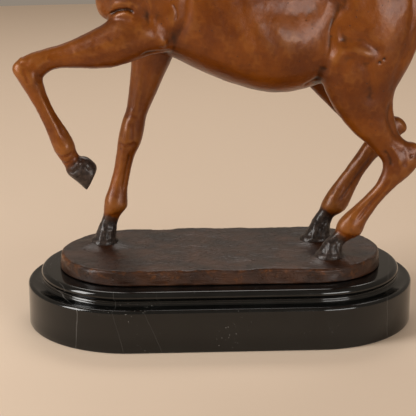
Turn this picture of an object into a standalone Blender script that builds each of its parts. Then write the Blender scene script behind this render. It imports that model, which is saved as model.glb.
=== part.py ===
"""A bronze horse stepping out, cast in one with its ground, on a moulded marble plinth.

Lengths are in millimetres and become metres once, where a mesh is finished. The plinth's
underside is z = 0 and its long side lies along X. The horse faces -X, and its near side is -Y.
The horse's own form is given in hundredths of its height at the withers, measured up from the
top of the ground it stands on.
"""
from math import cos, pi, radians, sin

import bmesh
import bpy
import numpy as np
from mathutils import Euler, Matrix, Vector

METRE = 0.001

# Horse
WITHERS = 255.0           # ground to the top of the withers
FRONT_TOE = 36.7          # toe of the standing foreleg ahead of the middle, in hundredths
SIDE_SHIFT = 6.0          # the horse's middle plane stands this far to the near side
LEG_TRACK = 8.2           # each leg's centre from the middle plane, in hundredths
HOOF_HALF = 3.4           # half the width of a hoof, in hundredths
KEPT_FACES = 0.026        # share of the fine form's faces that the cast keeps

# Bronze ground
TOE_MARGIN = 22.5         # ground ahead of the standing foreleg's toe
SIDE_MARGIN = 15.9        # ground beside the near hooves
GROUND_THICKNESS = 10.7
GROUND_ROUND = 2.6        # rounded upper edge of the ground
GROUND_DRAFT = 0.8        # the ground's sides lean in by this much

# Marble plinth
GROUND_LEDGE = 13.7       # upper tier showing around the ground
SEAT_GAP = 0.3            # between the plinth's top and the ground's underside
TIER_INSET = 9.5          # the upper tier stands back from the lower one
LOWER_TIER = 30.6         # height of the lower tier
UPPER_TIER = 9.4          # height of the upper tier
FOOT_CHAMFER = 0.8
TIER_ROUND = 1.6          # rounded upper edge of the lower tier
COVE = 1.7                # hollow at the foot of the upper tier
FILLET = 0.7              # flat band between the cove and the nose
END_SIDES = 26            # facets on each round end

HOOF_REACH = SIDE_SHIFT + (LEG_TRACK + HOOF_HALF) * WITHERS / 100
GROUND_LENGTH = 2 * (FRONT_TOE * WITHERS / 100 + TOE_MARGIN)
GROUND_DEPTH = 2 * (HOOF_REACH + SIDE_MARGIN)
PLINTH_LENGTH = GROUND_LENGTH + 2 * (GROUND_LEDGE + TIER_INSET)
PLINTH_DEPTH = GROUND_DEPTH + 2 * (GROUND_LEDGE + TIER_INSET)
PLINTH_HEIGHT = LOWER_TIER + UPPER_TIER
GROUND_BOTTOM = PLINTH_HEIGHT + SEAT_GAP
GROUND_TOP = GROUND_BOTTOM + GROUND_THICKNESS

NEAR, FAR = -1, 1


def clear_scene():
    for thing in list(bpy.data.objects):
        bpy.data.objects.remove(thing)


def new_collection(name):
    made = bpy.data.collections.new(name)
    bpy.context.scene.collection.children.link(made)
    return made


def new_material(name, colour, metallic, roughness):
    made = bpy.data.materials.new(name)
    made.use_nodes = True
    shader = made.node_tree.nodes["Principled BSDF"]
    shader.inputs["Base Color"].default_value = (*colour, 1.0)
    shader.inputs["Metallic"].default_value = metallic
    shader.inputs["Roughness"].default_value = roughness
    return made


def new_object(name, shape, where, finish):
    """An object from a bmesh drawn in millimetres."""
    bmesh.ops.scale(shape, vec=Vector((METRE, METRE, METRE)), verts=shape.verts)
    mesh = bpy.data.meshes.new(name)
    shape.to_mesh(mesh)
    shape.free()
    mesh.materials.append(finish)
    made = bpy.data.objects.new(name, mesh)
    where.objects.link(made)
    return made


def turned_edge(inset, z, radius, first, last, steps):
    """Moulding points (inset, height) round (inset, z), from first to last degrees above straight out."""
    return [(inset - radius * cos(radians(a)), z + radius * sin(radians(a)))
            for a in np.linspace(first, last, steps + 1)]


def oval_block(length, depth, profile):
    """A block with straight sides and round ends: its outline is extruded up through (inset, height) steps."""
    radius = depth / 2
    straight = length / 2 - radius
    rim = [(end * straight, cos(start + pi * k / END_SIDES), sin(start + pi * k / END_SIDES))
           for end, start in ((1, -pi / 2), (-1, pi / 2)) for k in range(END_SIDES + 1)]
    shape = bmesh.new()
    inset, z = profile[0]
    under = shape.faces.new([shape.verts.new((x + (radius - inset) * c, (radius - inset) * s, z))
                             for x, c, s in rim])
    face = under
    for inset, z in profile[1:]:
        grown = bmesh.ops.extrude_face_region(shape, geom=[face])["geom"]
        if face is not under:
            bmesh.ops.delete(shape, geom=[face], context="FACES_ONLY")
        face = next(item for item in grown if isinstance(item, bmesh.types.BMFace))
        for corner, (x, c, s) in zip(face.verts, rim):
            corner.co = Vector((x + (radius - inset) * c, (radius - inset) * s, z))
    bmesh.ops.recalc_face_normals(shape, faces=shape.faces)
    return shape


def make_plinth(where, finish):
    """One marble block: a plain lower tier, a ledge, a small cove and a half-round upper tier."""
    nose = (PLINTH_HEIGHT - LOWER_TIER - COVE - FILLET) / 2
    foot = TIER_INSET + nose * 0.2
    profile = [(FOOT_CHAMFER, 0), (0, FOOT_CHAMFER)]
    profile += turned_edge(TIER_ROUND, LOWER_TIER - TIER_ROUND, TIER_ROUND, 0, 84, 4)
    profile += [(foot - COVE + COVE * sin(radians(a)), LOWER_TIER + COVE - COVE * cos(radians(a)))
                for a in (6, 30, 60, 90)]
    profile += [(foot, LOWER_TIER + COVE + FILLET)]
    profile += turned_edge(TIER_INSET + nose, PLINTH_HEIGHT - nose, nose, -72, 90, 9)
    return new_object("marble_plinth", oval_block(PLINTH_LENGTH, PLINTH_DEPTH, profile), where, finish)


def make_ground(where, finish):
    """The cast ground: a low oval slab with a little draft and a rounded upper edge."""
    profile = [(0, GROUND_BOTTOM), (GROUND_DRAFT * 0.7, GROUND_TOP - GROUND_ROUND)]
    profile += turned_edge(GROUND_DRAFT + GROUND_ROUND, GROUND_TOP - GROUND_ROUND, GROUND_ROUND, 20, 90, 4)
    return new_object("bronze_horse", oval_block(GROUND_LENGTH, GROUND_DEPTH, profile), where, finish)


def smooth_rows(rows, steps):
    """Points on the smooth curve through the rows, with this many steps between two rows."""
    rows = np.asarray(rows, float)
    count = len(rows)
    t = np.linspace(0, count - 1, steps * (count - 1) + 1)
    i = np.clip(t.astype(int), 0, count - 2)
    f = (t - i)[:, None]
    p = np.vstack([2 * rows[0] - rows[1], rows, 2 * rows[-1] - rows[-2]])
    a, b, c, d = p[i], p[i + 1], p[i + 2], p[i + 3]
    return 0.5 * (2 * b + (c - a) * f + (2 * a - 5 * b + 4 * c - d) * f ** 2 + (3 * b - a - 3 * c + d) * f ** 3)


def add_rings(shape, rings):
    """Closes a run of unlike rings into one skin, with a fan at either end."""
    rows = [[shape.verts.new(p) for p in ring] for ring in rings]
    sides = len(rows[0])
    for low, high in zip(rows, rows[1:]):
        for k in range(sides):
            shape.faces.new((low[k], low[(k + 1) % sides], high[(k + 1) % sides], high[k]))
    for row, way in ((rows[0], -1), (rows[-1], 1)):
        middle = shape.verts.new(sum((v.co for v in row), Vector()) / sides)
        for k in range(sides):
            shape.faces.new((row[k], row[(k + 1) % sides], middle)[::way])


def add_limb(shape, stations, y=0.0, power=2.0, narrow=0.0, steps=4, sides=24):
    """A body or leg through stations (front x, front z, back x, back z, half width[, y shift])."""
    rows = smooth_rows([list(s) + [0.0] * (6 - len(s)) for s in stations], steps)
    turn = np.linspace(0, 2 * pi, sides, endpoint=False)
    along = np.sign(np.cos(turn)) * np.abs(np.cos(turn)) ** (2 / power)
    across = np.sign(np.sin(turn)) * np.abs(np.sin(turn)) ** (2 / power)
    front_x, front_z, back_x, back_z, half, shift = (rows[:, k:k + 1] for k in range(6))
    x = (front_x + back_x) / 2 + (front_x - back_x) / 2 * along
    z = (front_z + back_z) / 2 + (front_z - back_z) / 2 * along
    add_rings(shape, np.stack([x, y + shift + half * across * (1 + narrow * along), z], -1))


def add_lock(shape, path, radii, flat=1.0, steps=4, sides=10):
    """A tapering strand of hair along a path; flat stretches it sideways."""
    rows = smooth_rows(np.column_stack([path, radii]), steps)
    way = np.gradient(rows[:, :3], axis=0)
    way /= np.linalg.norm(way, axis=1)[:, None]
    side = np.array([0.0, 1.0, 0.0]) - way[:, 1:2] * way
    side /= np.linalg.norm(side, axis=1)[:, None]
    up = np.cross(way, side)
    turn = np.linspace(0, 2 * pi, sides, endpoint=False)[None, :, None]
    radius = np.maximum(rows[:, 3], 0.05)[:, None, None]
    add_rings(shape, rows[:, None, :3] + radius * (np.cos(turn) * side[:, None] * flat + np.sin(turn) * up[:, None]))


def add_mass(shape, centre, radii, pitch=0.0, yaw=0.0):
    """A muscle or bone: an egg of these half lengths, pitched up in the side view."""
    turn = Euler((0.0, -radians(pitch), radians(yaw)), "XYZ")
    bmesh.ops.create_uvsphere(shape, u_segments=20, v_segments=12, radius=1.0,
                              matrix=Matrix.LocRotScale(Vector(centre), turn, Vector(radii)))


def add_trunk(shape):
    add_limb(shape, [
        (-33.4, 80.8, -32.7, 72.4, 5.1), (-30.8, 88.6, -30.0, 65.4, 9.2), (-25.9, 95.3, -24.3, 59.2, 11.4),
        (-16.9, 99.6, -14.1, 55.7, 12.4), (-7.1, 96.2, -4.3, 51.0, 13.9), (3.9, 92.6, 5.1, 47.5, 15.3),
        (14.1, 91.2, 13.3, 45.7, 15.3), (23.5, 91.6, 21.2, 46.3, 13.9), (32.9, 92.3, 29.0, 49.4, 13.0),
        (41.6, 90.2, 38.4, 58.8, 12.2), (47.8, 85.8, 46.3, 67.5, 9.0), (51.4, 81.2, 50.6, 74.5, 4.7)],
        power=2.15, narrow=-0.32, sides=32)
    for side in (NEAR, FAR):
        add_mass(shape, (-21.2, side * 6.4, 85.0), (14.9, 4.8, 9.0), pitch=52, yaw=side * 6)
        add_mass(shape, (-18.4, side * 8.6, 73.0), (10.6, 4.6, 9.4), pitch=-38, yaw=side * 3)
        add_mass(shape, (-27.1, side * 6.8, 76.5), (6.3, 5.3, 7.5), pitch=30)
        add_mass(shape, (-29.2, side * 4.2, 74.0), (4.4, 4.4, 8.2), pitch=-12)
        add_mass(shape, (33.0, side * 6.2, 81.0), (19.0, 7.6, 9.8), pitch=-12, yaw=side * -8)
        add_mass(shape, (24.6, side * 8.6, 82.6), (8.0, 4.6, 5.8), pitch=-20)
        add_mass(shape, (47.3, side * 5.6, 75.3), (7.0, 5.2, 11.4), pitch=12)
        add_mass(shape, (31.0, side * 9.2, 58.4), (8.6, 5.4, 10.0), pitch=20)
        add_mass(shape, (-14.5, side * 3.0, 94.4), (11.0, 4.2, 4.6), pitch=-18)


def add_neck(shape):
    add_limb(shape, [
        (-11.0, 96.5, -27.5, 69.0, 8.6), (-14.9, 100.6, -34.1, 75.3, 9.6), (-17.6, 105.8, -37.9, 83.1, 8.8),
        (-21.4, 114.0, -41.6, 93.3, 7.2), (-26.7, 122.8, -43.7, 103.5, 6.0), (-33.1, 130.4, -44.7, 112.9, 5.2),
        (-40.4, 135.0, -45.5, 119.2, 4.6), (-47.1, 135.3, -43.9, 124.7, 3.5)], narrow=-0.25)


def add_head(shape):
    add_limb(shape, [
        (-45.9, 137.3, -40.8, 131.0, 2.7), (-50.2, 134.1, -40.4, 126.3, 4.7), (-54.1, 128.6, -39.6, 118.8, 5.3),
        (-57.3, 122.4, -41.6, 112.9, 5.1), (-59.8, 116.5, -48.0, 109.9, 4.1), (-62.2, 111.0, -53.5, 106.2, 3.5),
        (-64.7, 105.9, -56.7, 101.8, 3.3), (-66.5, 101.6, -59.0, 97.2, 3.5), (-66.1, 98.0, -61.4, 95.8, 2.4)],
        power=2.3)
    for side in (NEAR, FAR):
        add_mass(shape, (-46.2, side * 3.5, 119.6), (7.0, 2.5, 6.9), pitch=60)
        add_mass(shape, (-50.9, side * 3.9, 127.8), (3.4, 1.5, 2.0), pitch=66)
        add_mass(shape, (-52.3, side * 4.5, 126.0), (1.5, 0.9, 1.3), pitch=60)
        add_mass(shape, (-54.6, side * 3.9, 119.0), (6.4, 0.9, 0.9), pitch=66)
        add_mass(shape, (-65.0, side * 2.4, 101.9), (2.3, 1.3, 1.6), pitch=72)
        add_lock(shape, [(-43.9, side * 2.0, 133.4), (-44.4, side * 2.7, 136.8), (-45.6, side * 3.2, 140.0),
                         (-47.4, side * 3.0, 143.2)], [1.5, 1.95, 1.55, 0.3], flat=0.62)
    add_mass(shape, (-60.3, 0, 97.2), (2.2, 2.0, 1.6), pitch=20)


def add_raised_foreleg(shape):
    y = NEAR * LEG_TRACK
    add_limb(shape, [
        (-15.7, 72.9, -10.2, 62.7, 3.5, 0.8), (-20.4, 70.6, -14.1, 58.4, 5.1), (-25.1, 68.6, -19.2, 57.3, 5.5),
        (-29.8, 66.7, -23.9, 55.5, 5.3), (-33.7, 64.5, -29.8, 53.9, 4.9), (-38.0, 62.4, -36.1, 53.7, 4.3),
        (-42.7, 60.4, -41.2, 53.9, 3.6), (-47.5, 59.0, -45.1, 53.5, 3.2), (-51.8, 57.6, -47.8, 51.6, 3.3),
        (-54.9, 55.7, -49.4, 51.4, 2.7)], y)
    add_limb(shape, [
        (-53.3, 57.3, -48.2, 54.1, 2.4), (-55.9, 54.3, -47.8, 50.8, 3.1), (-54.3, 50.8, -47.4, 49.0, 2.9),
        (-51.6, 46.1, -46.5, 46.1, 2.2), (-49.0, 41.0, -44.5, 41.6, 2.0), (-46.9, 35.7, -41.8, 37.3, 2.3),
        (-45.5, 31.6, -40.1, 33.9, 2.9), (-43.9, 29.2, -39.6, 31.8, 2.6), (-42.6, 26.9, -38.8, 30.2, 2.1),
        (-41.9, 25.3, -38.0, 29.6, 2.3)], y - 0.5)
    add_limb(shape, [
        (-42.6, 26.3, -38.8, 29.8, 2.0), (-41.9, 25.0, -37.0, 29.9, 2.9), (-38.9, 22.5, -34.7, 28.1, 3.2),
        (-37.0, 20.5, -34.0, 26.6, 3.3)], y - 0.5, power=2.2)


def add_standing_foreleg(shape):
    add_limb(shape, [
        (-26.0, 76.0, -12.0, 74.0, 2.4, -1.6), (-26.6, 69.5, -9.6, 66.5, 4.3, -0.6), (-25.7, 62.7, -10.0, 60.0, 5.2),
        (-24.9, 57.3, -12.2, 55.3, 5.2), (-24.7, 52.2, -14.7, 50.2, 4.7),
        (-25.3, 45.5, -17.6, 43.9, 4.1), (-26.1, 39.6, -20.1, 38.4, 3.5), (-27.3, 36.1, -20.9, 34.9, 3.4),
        (-28.5, 31.4, -21.9, 30.2, 3.4), (-29.2, 26.7, -23.9, 25.9, 2.6), (-30.0, 22.0, -25.2, 21.2, 2.1),
        (-31.2, 17.6, -26.0, 16.9, 2.2), (-32.7, 13.3, -26.2, 12.9, 2.9), (-33.1, 10.6, -26.4, 10.8, 3.0),
        (-33.3, 8.4, -28.4, 8.2, 2.2), (-34.1, 6.3, -29.3, 5.9, 2.1), (-35.0, 4.3, -29.5, 3.7, 2.8),
        (-FRONT_TOE + 0.2, 0.4, -29.6, 0.2, HOOF_HALF), (-FRONT_TOE, -0.8, -29.6, -0.8, HOOF_HALF)],
        FAR * LEG_TRACK)


def add_near_hindleg(shape):
    y = NEAR * LEG_TRACK
    add_limb(shape, [
        (25.9, 88.6, 46.3, 87.1, 2.6, 1.9), (23.5, 83.1, 52.5, 80.8, 4.9, 1.2), (23.5, 75.3, 54.9, 73.7, 6.3),
        (25.1, 66.7, 54.1, 65.1, 7.2), (26.3, 59.2, 51.4, 57.3, 7.3), (25.7, 53.3, 48.6, 51.4, 6.6),
        (26.9, 48.2, 46.5, 47.5, 5.5), (29.2, 43.5, 45.9, 43.1, 4.8), (32.5, 38.8, 46.6, 39.4, 3.9),
        (35.9, 35.0, 47.5, 36.1, 3.3), (39.2, 32.2, 49.0, 33.9, 2.7), (41.6, 29.8, 51.4, 32.2, 2.4),
        (43.5, 27.5, 53.3, 30.6, 2.4)], y, power=2.1)
    add_limb(shape, [
        (41.6, 31.4, 51.0, 32.2, 1.8), (43.6, 27.1, 54.3, 28.8, 2.6), (43.5, 23.9, 52.2, 24.5, 2.7),
        (41.8, 20.4, 47.5, 20.2, 2.3), (39.2, 17.5, 44.1, 16.5, 2.0), (36.3, 14.7, 41.6, 13.1, 2.2),
        (33.7, 12.4, 39.7, 10.0, 2.9), (31.8, 10.0, 38.4, 6.9, 3.0), (31.0, 7.6, 35.3, 5.2, 2.2),
        (29.6, 5.9, 33.5, 3.7, 2.1), (28.0, 4.3, 33.2, 2.4, 2.9), (26.1, 0.4, 33.2, 0.0, HOOF_HALF),
        (25.9, -0.8, 33.2, -0.8, HOOF_HALF)], y)
    add_mass(shape, (52.2, y, 30.2), (3.1, 1.7, 2.1), pitch=-48)


def add_far_hindleg(shape):
    y = FAR * LEG_TRACK
    add_limb(shape, [
        (25.9, 88.6, 46.3, 87.1, 2.6, -1.9), (23.5, 83.1, 52.5, 80.8, 4.9, -1.2), (22.7, 75.3, 54.9, 73.7, 6.3),
        (23.5, 66.7, 54.1, 65.1, 7.2), (23.9, 59.2, 51.8, 58.0, 7.3), (22.9, 52.5, 49.4, 52.5, 6.6),
        (23.5, 47.5, 47.5, 48.2, 5.5), (26.3, 44.1, 46.7, 44.7, 4.8), (30.2, 40.2, 46.9, 41.2, 3.9),
        (33.7, 36.7, 47.5, 38.4, 3.3), (36.9, 33.7, 48.6, 36.9, 2.7), (39.6, 31.0, 50.2, 36.1, 2.4),
        (41.6, 29.8, 51.8, 34.5, 2.4)], y, power=2.1)
    add_limb(shape, [
        (40.4, 34.5, 50.2, 36.1, 1.8), (41.8, 30.4, 52.5, 32.5, 2.6), (40.6, 27.8, 49.8, 28.8, 2.7),
        (38.6, 24.7, 44.5, 23.7, 2.3), (36.1, 21.0, 41.4, 19.4, 2.0), (33.3, 17.3, 39.4, 15.3, 2.2),
        (31.2, 14.1, 38.0, 12.2, 2.9), (29.6, 11.2, 36.5, 9.2, 3.0), (29.0, 9.2, 33.5, 7.1, 2.2),
        (27.6, 7.1, 32.4, 5.3, 2.1), (26.3, 4.5, 32.2, 2.7, 2.9), (24.1, 0.4, 32.2, 0.0, HOOF_HALF),
        (23.9, -0.8, 32.2, -0.8, HOOF_HALF)], y)
    add_mass(shape, (50.8, y, 33.9), (3.1, 1.7, 2.1), pitch=-42)


def add_mane(shape):
    """Locks that leave the crest one behind the other and lie down the near side of the neck."""
    crest = smooth_rows([(-12.0, 99.5), (-17.2, 106.0), (-21.2, 114.4), (-26.4, 123.2), (-32.8, 131.0),
                         (-40.2, 135.8)], 3)
    add_lock(shape, [(x, -0.3, z) for x, z in crest], [1.0] + [1.7] * (len(crest) - 2) + [1.0], flat=0.9)
    for k, (x, z) in enumerate(crest):
        size = 1.0 + 0.18 * sin(2.4 * k)
        half = np.interp(z, (96, 105, 114, 124, 136), (6.4, 5.6, 4.7, 3.8, 3.2))
        add_lock(shape, [(x + 0.6, 0.4, z + 0.2), (x - 2.6 * size, -half, z - 1.6), (x - 4.8 * size, -half - 1.4, z - 6.2),
                         (x - 4.6 * size, -half - 2.0, z - 10.8 * size), (x - 5.8 * size, -half - 2.0, z - 14.2 * size)],
                 [1.3, 1.45, 1.4, 1.1, 0.3], flat=0.8)
    for k, side in enumerate((-0.9, 0.2, 1.2)):
        add_lock(shape, [(-43.5, side * 0.6, 136.6), (-48.0, side, 137.4), (-51.6, side * 1.6, 133.2),
                         (-53.4 + 0.4 * k, side * 1.7, 128.6)], [1.0, 1.2, 1.1, 0.3])


def add_tail(shape):
    """The dock carried out from the croup, and the locks that fall from it and turn out at their ends."""
    add_lock(shape, [(43.9, 0, 84.6), (50.2, 0, 87.4), (56.1, 0, 87.8), (61.6, 0, 82.6), (65.0, 0, 71.8),
                     (67.0, 0, 59.6), (69.8, 0, 47.6), (73.6, 0, 40.4)], [2.9, 2.8, 3.1, 4.2, 4.9, 4.7, 3.2, 0.6], flat=0.8)
    for k in range(9):
        turn = 2 * pi * k / 9 + 0.4
        out, side = cos(turn), sin(turn)
        drop = 3.0 * sin(2.1 * k)
        add_lock(shape, [
            (55.4 + out, side * 1.6, 87.4 + out), (61.2 + 2.4 * out, side * 2.6, 82.4 + 1.4 * out),
            (64.9 + 4.0 * out, side * 3.4, 71.6), (66.2 + 4.2 * out, side * 3.6 + 0.6, 59.4),
            (69.4 + 3.2 * out, side * 2.8, 47.0 + drop), (73.2 + 2.0 * out, side * 1.4, 38.8 + drop)],
            [1.2, 1.6, 1.9, 1.9, 1.5, 0.3])


def add_hoof_beds(shape):
    """The modelled earth that swells up around each standing hoof."""
    for x, y in ((-32.6, FAR), (30.2, NEAR), (28.6, FAR)):
        add_mass(shape, (x, y * LEG_TRACK, -0.6), (6.2, 5.2, 1.3))


def make_horse_form(where, finish):
    """Every limb, muscle and lock run together into one skin, then eased to broad facets."""
    shape = bmesh.new()
    for add_part in (add_trunk, add_neck, add_head, add_raised_foreleg, add_standing_foreleg,
                     add_near_hindleg, add_far_hindleg, add_mane, add_tail, add_hoof_beds):
        add_part(shape)
    bmesh.ops.recalc_face_normals(shape, faces=shape.faces)
    share = WITHERS / 100
    bmesh.ops.transform(shape, verts=shape.verts,
                        matrix=Matrix.LocRotScale(Vector((0, -SIDE_SHIFT, GROUND_TOP)), None,
                                                  Vector((share, share, share))))
    form = new_object("horse_form", shape, where, finish)
    form.hide_render = True
    form.display_type = "WIRE"
    skin = form.modifiers.new("One skin", "REMESH")
    skin.mode = "VOXEL"
    skin.voxel_size = WITHERS / 200 * METRE
    ease = form.modifiers.new("Ease", "SMOOTH")
    ease.factor = 0.5
    ease.iterations = 8
    facets = form.modifiers.new("Facets", "DECIMATE")
    facets.ratio = KEPT_FACES
    return form


def make_bronze(where, cutters, finish):
    """The horse joined to its ground as one casting."""
    cast = make_ground(where, finish)
    joined = cast.modifiers.new("Horse", "BOOLEAN")
    joined.operation = "UNION"
    joined.solver = "EXACT"
    joined.object = make_horse_form(cutters, finish)
    return cast


clear_scene()
parts = new_collection("bronze_horse_sculpture")
cutters = new_collection("cutters")
make_plinth(parts, new_material("black_marble", (0.012, 0.012, 0.013), 0.0, 0.12))
make_bronze(parts, cutters, new_material("brown_bronze", (0.19, 0.075, 0.022), 1.0, 0.38))
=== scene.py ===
import bpy
import numpy as np
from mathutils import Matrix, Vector


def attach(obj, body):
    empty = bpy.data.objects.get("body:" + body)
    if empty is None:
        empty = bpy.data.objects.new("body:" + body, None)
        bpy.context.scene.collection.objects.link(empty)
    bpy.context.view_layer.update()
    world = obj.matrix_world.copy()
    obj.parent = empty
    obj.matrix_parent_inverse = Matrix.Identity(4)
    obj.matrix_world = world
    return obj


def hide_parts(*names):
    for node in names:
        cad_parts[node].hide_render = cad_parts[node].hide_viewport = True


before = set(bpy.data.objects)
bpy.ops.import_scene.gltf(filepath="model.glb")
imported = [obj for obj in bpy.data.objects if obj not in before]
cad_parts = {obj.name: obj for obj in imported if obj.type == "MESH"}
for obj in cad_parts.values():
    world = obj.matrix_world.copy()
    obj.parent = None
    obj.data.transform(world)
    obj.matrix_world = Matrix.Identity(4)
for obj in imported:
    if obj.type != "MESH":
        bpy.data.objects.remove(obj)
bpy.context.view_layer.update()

# Marble plinth
# One block of black marble, cut to an oval with round ends, run with a cove and a half-round
# upper tier, and polished. A few fine white veins cross it. The bronze stands loose on top.
MM = 0.001
plinth_length, plinth_depth, plinth_height = 278.6, 149.4, 40.0
lower_tier, tier_inset, cove, fillet = 30.6, 9.5, 1.7, 0.7
foot_chamfer, tier_round, shoulder_dip = 0.8, 2.4, 0.35
jet, cloudy_black, calcite = (0.0016, 0.0018, 0.0018), (0.0046, 0.0050, 0.0048), (0.46, 0.44, 0.41)
# veins in metres: (direction square to the vein, its distance from the middle, width, strength)
veins = (((0.891, 0.452, -0.035), -0.1211, 0.00034, 0.17), ((0.931, -0.279, 0.233), -0.0447, 0.00024, 0.09),
         ((0.98, -0.196, 0.043), 0.1232, 0.0003, 0.1), ((0.62, -0.74, 0.24), 0.028, 0.00022, 0.05))


def oval(length, depth, count):
    """Even steps of arc round an oval of two straights and two half circles: the x of the
    nearest point on the middle line, the outward direction there, and the half circle's radius."""
    radius = depth / 2
    straight = length / 2 - radius
    cap, side = np.pi * radius, 2 * straight
    s = np.arange(count) / count * 2 * (cap + side)
    spans = [s < cap, s < cap + side, s < 2 * cap + side]
    quarter = np.pi / 2
    turn = np.select(spans, [s / radius - quarter, quarter, (s - cap - side) / radius + quarter], -quarter)
    x = np.select(spans, [straight, straight - (s - cap), -straight], s - 2 * cap - side - straight)
    return x, np.stack([np.cos(turn), np.sin(turn)], 1), radius


def turned(inset, z, radius, first, last, steps):
    """Moulding points on a circle: (inset - r cos a, z + r sin a) for a from first to last degrees."""
    a = np.radians(np.linspace(first, last, steps))
    return np.stack([inset - radius * np.cos(a), z + radius * np.sin(a)], 1)


def skin_rings(rings):
    """Points and faces of rings (rows, points, xyz): each point joins the next on its ring and those of the
    next ring, and a fan to the middle closes each end. The faces are two arrays, the quads and the fans."""
    rows, count, _ = rings.shape
    points = np.concatenate([rings.reshape(-1, 3), rings[[0, -1]].mean(1)])
    i, j = np.meshgrid(np.arange(rows - 1), np.arange(count), indexing="ij")
    k = (j + 1) % count
    quads = np.stack([i * count + j, i * count + k, (i + 1) * count + k, (i + 1) * count + j], -1)
    j = np.arange(count)
    k = (j + 1) % count
    last = (rows - 1) * count
    low = np.stack([k, j, np.full(count, rows * count)], 1)
    high = np.stack([last + j, last + k, np.full(count, rows * count + 1)], 1)
    return points, [quads.reshape(-1, 4), np.vstack([low, high])]


def new_piece(name, points, faces, material, smooth=True):
    """A mesh object at the origin, from points in millimetres and faces as a list of arrays."""
    mesh = bpy.data.meshes.new(name)
    mesh.from_pydata((points * MM).tolist(), [], sum((kind.tolist() for kind in faces), []))
    mesh.polygons.foreach_set("use_smooth", np.full(len(mesh.polygons), smooth))
    mesh.materials.append(material)
    mesh.update()
    piece = bpy.data.objects.new(name, mesh)
    bpy.context.scene.collection.objects.link(piece)
    return piece


def add_node(tree, kind, values=None, **settings):
    """A shader node with its settings, each named input given a constant or another node's output."""
    made = tree.nodes.new(kind)
    for key, value in settings.items():
        setattr(made, key, value)
    for key, value in (values or {}).items():
        if isinstance(value, bpy.types.NodeSocket):
            tree.links.new(value, made.inputs[key])
        else:
            made.inputs[key].default_value = value
    return made


def sums(operation, *values):
    """The result of one math node: the operation done on the values in turn."""
    tree = next(value.id_data for value in values if isinstance(value, bpy.types.NodeSocket))
    return add_node(tree, "ShaderNodeMath", dict(enumerate(values)), operation=operation).outputs[0]


def ramp(value, low, high, start=0.0, end=1.0):
    """Value carried from low..high to start..end by 3t^2 - 2t^3, and held beyond."""
    limits = {"Value": value, "From Min": low, "From Max": high, "To Min": start, "To Max": end}
    made = add_node(value.id_data, "ShaderNodeMapRange", limits, interpolation_type="SMOOTHSTEP")
    return made.outputs["Result"]


def tint(share, one, other):
    """Colour one turned towards colour other by share: one * (1 - share) + other * share."""
    one, other = ((*colour, 1.0) if isinstance(colour, tuple) else colour for colour in (one, other))
    made = add_node(share.id_data, "ShaderNodeMix", {0: share, 6: one, 7: other}, data_type="RGBA")
    return made.outputs[2]


def noise(where, scale, detail=3.0, roughness=0.5, distortion=0.0):
    """A soft cloud of about 0 to 1: scale waves a metre, and detail layers more, each twice as fine as the
    last and roughness times as strong. Distortion bends it by itself."""
    values = {"Vector": where, "Scale": scale, "Detail": detail, "Roughness": roughness,
              "Distortion": distortion}
    return add_node(where.id_data, "ShaderNodeTexNoise", values).outputs["Fac"]


def waver(where, scale, detail, size, roughness=0.5):
    """Noise that swings about nothing: (noise - 0.5) * size."""
    return sums("MULTIPLY", sums("SUBTRACT", noise(where, scale, detail, roughness), 0.5), size)


def spots(where, scale):
    """Cells scattered scale to the metre: the distance to the nearest one's middle, and its own colour."""
    return add_node(where.id_data, "ShaderNodeTexVoronoi", {"Vector": where, "Scale": scale}).outputs


def new_material(name):
    """A material with its tree, its surface shader and the piece's own coordinates."""
    made = bpy.data.materials.new(name)
    made.use_nodes = True
    tree = made.node_tree
    where = add_node(tree, "ShaderNodeTexCoord").outputs["Object"]
    return made, tree, tree.nodes["Principled BSDF"], where


def black_marble():
    """Near-black stone: a vein is pale where |p.n - distance + wander + fray| is under its width, and specks
    of calcite lie at the middles of scattered cells. A cloudy grey barely shows under the polish."""
    made, tree, surface, where = new_material("polished black marble")
    wander, fray = waver(where, 22.0, 3.0, 0.0040), waver(where, 160.0, 2.0, 0.0007)
    broken = ramp(noise(where, 70.0, 2.0), 0.3, 0.62)
    pale = 0.0
    for normal, distance, width, strength in veins:
        along = add_node(tree, "ShaderNodeVectorMath", {0: where, 1: normal}, operation="DOT_PRODUCT")
        off = sums("ADD", sums("SUBTRACT", along.outputs["Value"], distance), wander)
        off = sums("ABSOLUTE", sums("ADD", off, fray))
        line = sums("MULTIPLY", ramp(off, 0.0, width, strength, 0.0), broken)
        pale = sums("MAXIMUM", pale, line)
    speck = ramp(spots(where, 420.0)["Distance"], 0.05, 0.16, 0.5, 0.0)
    speck = sums("MULTIPLY", speck, ramp(noise(where, 45.0), 0.56, 0.66))
    stone = tint(ramp(noise(where, 30.0, 6.0, 0.65), 0.35, 0.75), jet, cloudy_black)
    stone = tint(sums("MAXIMUM", pale, speck), stone, calcite)
    tree.links.new(stone, surface.inputs["Base Color"])
    tree.links.new(ramp(noise(where, 60.0, 5.0), 0.3, 0.7, 0.08, 0.15), surface.inputs["Roughness"])
    surface.inputs["Specular IOR Level"].default_value = 0.5
    return made


nose = (plinth_height - lower_tier - cove - fillet) / 2
foot = tier_inset + nose * 0.2
hollow = np.radians(np.linspace(4, 90, 8))[:, None]
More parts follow.
